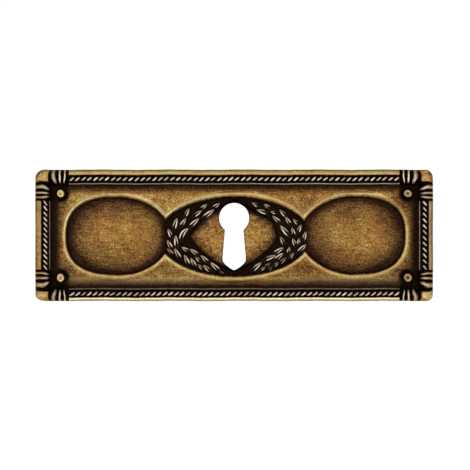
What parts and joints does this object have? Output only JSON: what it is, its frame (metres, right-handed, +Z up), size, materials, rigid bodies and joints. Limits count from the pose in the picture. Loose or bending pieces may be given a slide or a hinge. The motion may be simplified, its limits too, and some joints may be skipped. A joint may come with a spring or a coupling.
{
  "type": "keyhole escutcheon",
  "caption": "Rectangular cast brass keyhole plate with a rope border, three linked ovals, a laurel wreath and a through keyhole, for a drawer or cabinet lock.",
  "frame": {"origin": "middle of the flat back face, on the plane that lies against the drawer front", "axes": "+Z is up in use, +X is to the right along the plate seen from the front, and the face looks along -Y; the back is the plane y = 0"},
  "size_m": [0.106, 0.003, 0.0352],
  "materials": {
    "antique_brass": "cast brass, blackened in the recesses and rubbed bright on the high places"
  },
  "bodies": {
    "root": {"escutcheon": "antique_brass"}
  },
  "joints": []
}
